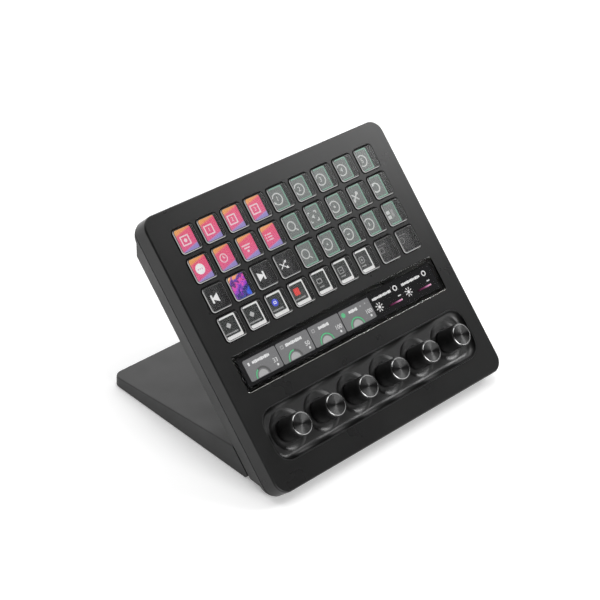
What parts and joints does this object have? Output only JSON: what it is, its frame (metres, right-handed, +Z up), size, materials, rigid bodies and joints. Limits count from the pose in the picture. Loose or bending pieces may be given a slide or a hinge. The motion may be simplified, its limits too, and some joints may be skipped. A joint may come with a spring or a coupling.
{
  "type": "macro keypad",
  "caption": "Slanted desk keypad with a field of clear square screen keys, a touch strip and a row of push-and-turn dials in a glossy trough, on a low wedge foot.",
  "frame": {"origin": "on the desk, under the middle of the whole object", "axes": "+Z up, +X to the user's right, +Y away from the user; the keys' face looks towards -Y and +Z"},
  "size_m": [0.2036, 0.1564, 0.1355],
  "materials": {
    "faceplate": "fine matt",
    "rear_housing": "fine matt",
    "dial_tray": "high gloss",
    "strip_glass": "polished",
    "display_panels": "gloss",
    "key_membrane": "matt",
    "circuit_boards": "satin",
    "dial_encoders": "satin",
    "screw": "black oxide",
    "stand_foot": "fine matt",
    "foot_base_plate": "satin",
    "rubber_feet": "matt",
    "key_cap": "polished",
    "dial_knob": "turned, dark anodised",
    "dial_spindle": "ground"
  },
  "bodies": {
    "chassis": {"faceplate": "faceplate", "rear_housing": "rear_housing", "dial_tray": "dial_tray", "strip_glass": "strip_glass", "display_panels": "display_panels", "key_membrane": "key_membrane", "circuit_boards": "circuit_boards", "dial_encoders": "dial_encoders", "screws": "screw", "stand_foot": "stand_foot", "foot_base_plate": "foot_base_plate", "rubber_feet": "rubber_feet"},
    "key_r1_c1": {"key_r1_c1": "key_cap"},
    "key_r1_c2": {"key_r1_c2": "key_cap"},
    "key_r1_c3": {"key_r1_c3": "key_cap"},
    "key_r1_c4": {"key_r1_c4": "key_cap"},
    "key_r1_c5": {"key_r1_c5": "key_cap"},
    "key_r1_c6": {"key_r1_c6": "key_cap"},
    "key_r1_c7": {"key_r1_c7": "key_cap"},
    "key_r1_c8": {"key_r1_c8": "key_cap"},
    "key_r1_c9": {"key_r1_c9": "key_cap"},
    "key_r2_c1": {"key_r2_c1": "key_cap"},
    "key_r2_c2": {"key_r2_c2": "key_cap"},
    "key_r2_c3": {"key_r2_c3": "key_cap"},
    "key_r2_c4": {"key_r2_c4": "key_cap"},
    "key_r2_c5": {"key_r2_c5": "key_cap"},
    "key_r2_c6": {"key_r2_c6": "key_cap"},
    "key_r2_c7": {"key_r2_c7": "key_cap"},
    "key_r2_c8": {"key_r2_c8": "key_cap"},
    "key_r2_c9": {"key_r2_c9": "key_cap"},
    "key_r3_c1": {"key_r3_c1": "key_cap"},
    "key_r3_c2": {"key_r3_c2": "key_cap"},
    "key_r3_c3": {"key_r3_c3": "key_cap"},
    "key_r3_c4": {"key_r3_c4": "key_cap"},
    "key_r3_c5": {"key_r3_c5": "key_cap"},
    "key_r3_c6": {"key_r3_c6": "key_cap"},
    "key_r3_c7": {"key_r3_c7": "key_cap"},
    "key_r3_c8": {"key_r3_c8": "key_cap"},
    "key_r3_c9": {"key_r3_c9": "key_cap"},
    "key_r4_c1": {"key_r4_c1": "key_cap"},
    "key_r4_c2": {"key_r4_c2": "key_cap"},
    "key_r4_c3": {"key_r4_c3": "key_cap"},
    "key_r4_c4": {"key_r4_c4": "key_cap"},
    "key_r4_c5": {"key_r4_c5": "key_cap"},
    "key_r4_c6": {"key_r4_c6": "key_cap"},
    "key_r4_c7": {"key_r4_c7": "key_cap"},
    "key_r4_c8": {"key_r4_c8": "key_cap"},
    "key_r4_c9": {"key_r4_c9": "key_cap"},
    "dial_1_press": {"dial_1_spindle": "dial_spindle"},
    "dial_1_turn": {"dial_1_knob": "dial_knob"},
    "dial_2_press": {"dial_2_spindle": "dial_spindle"},
    "dial_2_turn": {"dial_2_knob": "dial_knob"},
    "dial_3_press": {"dial_3_spindle": "dial_spindle"},
    "dial_3_turn": {"dial_3_knob": "dial_knob"},
    "dial_4_press": {"dial_4_spindle": "dial_spindle"},
    "dial_4_turn": {"dial_4_knob": "dial_knob"},
    "dial_5_press": {"dial_5_spindle": "dial_spindle"},
    "dial_5_turn": {"dial_5_knob": "dial_knob"},
    "dial_6_press": {"dial_6_spindle": "dial_spindle"},
    "dial_6_turn": {"dial_6_knob": "dial_knob"}
  },
  "joints": [
    {"name": "key_r1_c1_press", "type": "slide", "parent": "chassis", "child": "key_r1_c1", "axis": [0, 0.6984, -0.7157], "range_m": [0, 0.0012], "stiffness_N_per_m": 350, "springref_m": -0.001},
    {"name": "key_r1_c2_press", "type": "slide", "parent": "chassis", "child": "key_r1_c2", "axis": [0, 0.6984, -0.7157], "range_m": [0, 0.0012], "stiffness_N_per_m": 350, "springref_m": -0.001},
    {"name": "key_r1_c3_press", "type": "slide", "parent": "chassis", "child": "key_r1_c3", "axis": [0, 0.6984, -0.7157], "range_m": [0, 0.0012], "stiffness_N_per_m": 350, "springref_m": -0.001},
    {"name": "key_r1_c4_press", "type": "slide", "parent": "chassis", "child": "key_r1_c4", "axis": [0, 0.6984, -0.7157], "range_m": [0, 0.0012], "stiffness_N_per_m": 350, "springref_m": -0.001},
    {"name": "key_r1_c5_press", "type": "slide", "parent": "chassis", "child": "key_r1_c5", "axis": [0, 0.6984, -0.7157], "range_m": [0, 0.0012], "stiffness_N_per_m": 350, "springref_m": -0.001},
    {"name": "key_r1_c6_press", "type": "slide", "parent": "chassis", "child": "key_r1_c6", "axis": [0, 0.6984, -0.7157], "range_m": [0, 0.0012], "stiffness_N_per_m": 350, "springref_m": -0.001},
    {"name": "key_r1_c7_press", "type": "slide", "parent": "chassis", "child": "key_r1_c7", "axis": [0, 0.6984, -0.7157], "range_m": [0, 0.0012], "stiffness_N_per_m": 350, "springref_m": -0.001},
    {"name": "key_r1_c8_press", "type": "slide", "parent": "chassis", "child": "key_r1_c8", "axis": [0, 0.6984, -0.7157], "range_m": [0, 0.0012], "stiffness_N_per_m": 350, "springref_m": -0.001},
    {"name": "key_r1_c9_press", "type": "slide", "parent": "chassis", "child": "key_r1_c9", "axis": [0, 0.6984, -0.7157], "range_m": [0, 0.0012], "stiffness_N_per_m": 350, "springref_m": -0.001},
    {"name": "key_r2_c1_press", "type": "slide", "parent": "chassis", "child": "key_r2_c1", "axis": [0, 0.6984, -0.7157], "range_m": [0, 0.0012], "stiffness_N_per_m": 350, "springref_m": -0.001},
    {"name": "key_r2_c2_press", "type": "slide", "parent": "chassis", "child": "key_r2_c2", "axis": [0, 0.6984, -0.7157], "range_m": [0, 0.0012], "stiffness_N_per_m": 350, "springref_m": -0.001},
    {"name": "key_r2_c3_press", "type": "slide", "parent": "chassis", "child": "key_r2_c3", "axis": [0, 0.6984, -0.7157], "range_m": [0, 0.0012], "stiffness_N_per_m": 350, "springref_m": -0.001},
    {"name": "key_r2_c4_press", "type": "slide", "parent": "chassis", "child": "key_r2_c4", "axis": [0, 0.6984, -0.7157], "range_m": [0, 0.0012], "stiffness_N_per_m": 350, "springref_m": -0.001},
    {"name": "key_r2_c5_press", "type": "slide", "parent": "chassis", "child": "key_r2_c5", "axis": [0, 0.6984, -0.7157], "range_m": [0, 0.0012], "stiffness_N_per_m": 350, "springref_m": -0.001},
    {"name": "key_r2_c6_press", "type": "slide", "parent": "chassis", "child": "key_r2_c6", "axis": [0, 0.6984, -0.7157], "range_m": [0, 0.0012], "stiffness_N_per_m": 350, "springref_m": -0.001},
    {"name": "key_r2_c7_press", "type": "slide", "parent": "chassis", "child": "key_r2_c7", "axis": [0, 0.6984, -0.7157], "range_m": [0, 0.0012], "stiffness_N_per_m": 350, "springref_m": -0.001},
    {"name": "key_r2_c8_press", "type": "slide", "parent": "chassis", "child": "key_r2_c8", "axis": [0, 0.6984, -0.7157], "range_m": [0, 0.0012], "stiffness_N_per_m": 350, "springref_m": -0.001},
    {"name": "key_r2_c9_press", "type": "slide", "parent": "chassis", "child": "key_r2_c9", "axis": [0, 0.6984, -0.7157], "range_m": [0, 0.0012], "stiffness_N_per_m": 350, "springref_m": -0.001},
    {"name": "key_r3_c1_press", "type": "slide", "parent": "chassis", "child": "key_r3_c1", "axis": [0, 0.6984, -0.7157], "range_m": [0, 0.0012], "stiffness_N_per_m": 350, "springref_m": -0.001},
    {"name": "key_r3_c2_press", "type": "slide", "parent": "chassis", "child": "key_r3_c2", "axis": [0, 0.6984, -0.7157], "range_m": [0, 0.0012], "stiffness_N_per_m": 350, "springref_m": -0.001},
    {"name": "key_r3_c3_press", "type": "slide", "parent": "chassis", "child": "key_r3_c3", "axis": [0, 0.6984, -0.7157], "range_m": [0, 0.0012], "stiffness_N_per_m": 350, "springref_m": -0.001},
    {"name": "key_r3_c4_press", "type": "slide", "parent": "chassis", "child": "key_r3_c4", "axis": [0, 0.6984, -0.7157], "range_m": [0, 0.0012], "stiffness_N_per_m": 350, "springref_m": -0.001},
    {"name": "key_r3_c5_press", "type": "slide", "parent": "chassis", "child": "key_r3_c5", "axis": [0, 0.6984, -0.7157], "range_m": [0, 0.0012], "stiffness_N_per_m": 350, "springref_m": -0.001},
    {"name": "key_r3_c6_press", "type": "slide", "parent": "chassis", "child": "key_r3_c6", "axis": [0, 0.6984, -0.7157], "range_m": [0, 0.0012], "stiffness_N_per_m": 350, "springref_m": -0.001},
    {"name": "key_r3_c7_press", "type": "slide", "parent": "chassis", "child": "key_r3_c7", "axis": [0, 0.6984, -0.7157], "range_m": [0, 0.0012], "stiffness_N_per_m": 350, "springref_m": -0.001},
    {"name": "key_r3_c8_press", "type": "slide", "parent": "chassis", "child": "key_r3_c8", "axis": [0, 0.6984, -0.7157], "range_m": [0, 0.0012], "stiffness_N_per_m": 350, "springref_m": -0.001},
    {"name": "key_r3_c9_press", "type": "slide", "parent": "chassis", "child": "key_r3_c9", "axis": [0, 0.6984, -0.7157], "range_m": [0, 0.0012], "stiffness_N_per_m": 350, "springref_m": -0.001},
    {"name": "key_r4_c1_press", "type": "slide", "parent": "chassis", "child": "key_r4_c1", "axis": [0, 0.6984, -0.7157], "range_m": [0, 0.0012], "stiffness_N_per_m": 350, "springref_m": -0.001},
    {"name": "key_r4_c2_press", "type": "slide", "parent": "chassis", "child": "key_r4_c2", "axis": [0, 0.6984, -0.7157], "range_m": [0, 0.0012], "stiffness_N_per_m": 350, "springref_m": -0.001},
    {"name": "key_r4_c3_press", "type": "slide", "parent": "chassis", "child": "key_r4_c3", "axis": [0, 0.6984, -0.7157], "range_m": [0, 0.0012], "stiffness_N_per_m": 350, "springref_m": -0.001},
    {"name": "key_r4_c4_press", "type": "slide", "parent": "chassis", "child": "key_r4_c4", "axis": [0, 0.6984, -0.7157], "range_m": [0, 0.0012], "stiffness_N_per_m": 350, "springref_m": -0.001},
    {"name": "key_r4_c5_press", "type": "slide", "parent": "chassis", "child": "key_r4_c5", "axis": [0, 0.6984, -0.7157], "range_m": [0, 0.0012], "stiffness_N_per_m": 350, "springref_m": -0.001},
    {"name": "key_r4_c6_press", "type": "slide", "parent": "chassis", "child": "key_r4_c6", "axis": [0, 0.6984, -0.7157], "range_m": [0, 0.0012], "stiffness_N_per_m": 350, "springref_m": -0.001},
    {"name": "key_r4_c7_press", "type": "slide", "parent": "chassis", "child": "key_r4_c7", "axis": [0, 0.6984, -0.7157], "range_m": [0, 0.0012], "stiffness_N_per_m": 350, "springref_m": -0.001},
    {"name": "key_r4_c8_press", "type": "slide", "parent": "chassis", "child": "key_r4_c8", "axis": [0, 0.6984, -0.7157], "range_m": [0, 0.0012], "stiffness_N_per_m": 350, "springref_m": -0.001},
    {"name": "key_r4_c9_press", "type": "slide", "parent": "chassis", "child": "key_r4_c9", "axis": [0, 0.6984, -0.7157], "range_m": [0, 0.0012], "stiffness_N_per_m": 350, "springref_m": -0.001},
    {"name": "dial_1_press", "type": "slide", "parent": "chassis", "child": "dial_1_press", "axis": [0, 0.6984, -0.7157], "range_m": [0, 0.0006], "stiffness_N_per_m": 2500, "springref_m": -0.001},
    {"name": "dial_1_turn", "type": "hinge", "parent": "dial_1_press", "child": "dial_1_turn", "pos_m": [-0.07175, -0.05528, 0.0314], "axis": [0, -0.6984, 0.7157], "continuous": true},
    {"name": "dial_2_press", "type": "slide", "parent": "chassis", "child": "dial_2_press", "axis": [0, 0.6984, -0.7157], "range_m": [0, 0.0006], "stiffness_N_per_m": 2500, "springref_m": -0.001},
    {"name": "dial_2_turn", "type": "hinge", "parent": "dial_2_press", "child": "dial_2_turn", "pos_m": [-0.04305, -0.05528, 0.0314], "axis": [0, -0.6984, 0.7157], "continuous": true},
    {"name": "dial_3_press", "type": "slide", "parent": "chassis", "child": "dial_3_press", "axis": [0, 0.6984, -0.7157], "range_m": [0, 0.0006], "stiffness_N_per_m": 2500, "springref_m": -0.001},
    {"name": "dial_3_turn", "type": "hinge", "parent": "dial_3_press", "child": "dial_3_turn", "pos_m": [-0.01435, -0.05528, 0.0314], "axis": [0, -0.6984, 0.7157], "continuous": true},
    {"name": "dial_4_press", "type": "slide", "parent": "chassis", "child": "dial_4_press", "axis": [0, 0.6984, -0.7157], "range_m": [0, 0.0006], "stiffness_N_per_m": 2500, "springref_m": -0.001},
    {"name": "dial_4_turn", "type": "hinge", "parent": "dial_4_press", "child": "dial_4_turn", "pos_m": [0.01435, -0.05528, 0.0314], "axis": [0, -0.6984, 0.7157], "continuous": true},
    {"name": "dial_5_press", "type": "slide", "parent": "chassis", "child": "dial_5_press", "axis": [0, 0.6984, -0.7157], "range_m": [0, 0.0006], "stiffness_N_per_m": 2500, "springref_m": -0.001},
    {"name": "dial_5_turn", "type": "hinge", "parent": "dial_5_press", "child": "dial_5_turn", "pos_m": [0.04305, -0.05528, 0.0314], "axis": [0, -0.6984, 0.7157], "continuous": true},
    {"name": "dial_6_press", "type": "slide", "parent": "chassis", "child": "dial_6_press", "axis": [0, 0.6984, -0.7157], "range_m": [0, 0.0006], "stiffness_N_per_m": 2500, "springref_m": -0.001},
    {"name": "dial_6_turn", "type": "hinge", "parent": "dial_6_press", "child": "dial_6_turn", "pos_m": [0.07175, -0.05528, 0.0314], "axis": [0, -0.6984, 0.7157], "continuous": true}
  ]
}
